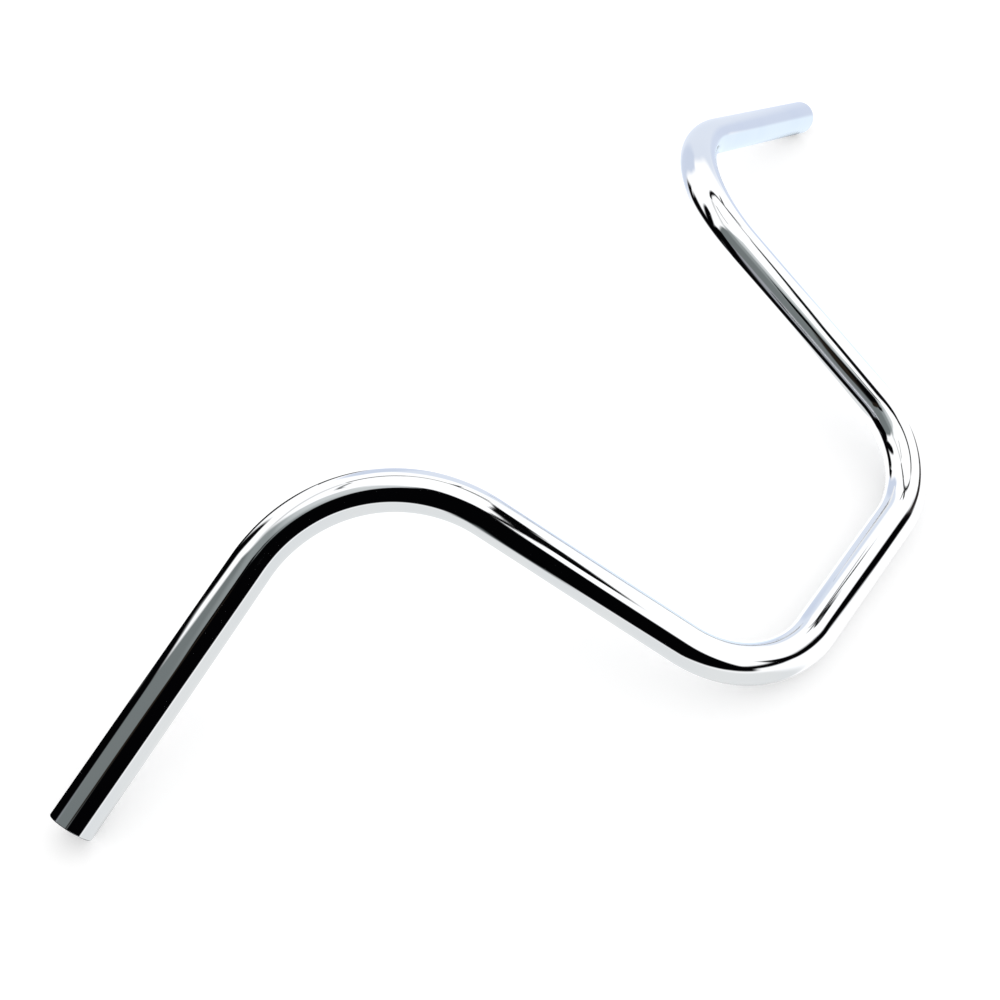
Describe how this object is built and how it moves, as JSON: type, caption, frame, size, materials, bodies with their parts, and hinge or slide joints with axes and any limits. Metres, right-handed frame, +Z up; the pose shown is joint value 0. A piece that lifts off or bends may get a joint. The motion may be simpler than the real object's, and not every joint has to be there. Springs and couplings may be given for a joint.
{
  "type": "motorcycle handlebar",
  "caption": "Chrome steel handlebar: one round tube bent into a deep cradle with a straight clamp section, tall risers and swept, dropped grips.",
  "frame": {"origin": "middle of the straight clamp section, on the tube's centreline", "axes": "+X along the clamp section towards the right-hand grip, +Y along the surface towards the tops of the risers, +Z up from the surface that the bar lies on"},
  "size_m": [0.8132, 0.2826, 0.1052],
  "materials": {
    "chrome": "polished mirror chrome plating on a steel tube"
  },
  "bodies": {
    "root": {"handlebar": "chrome"}
  },
  "joints": []
}
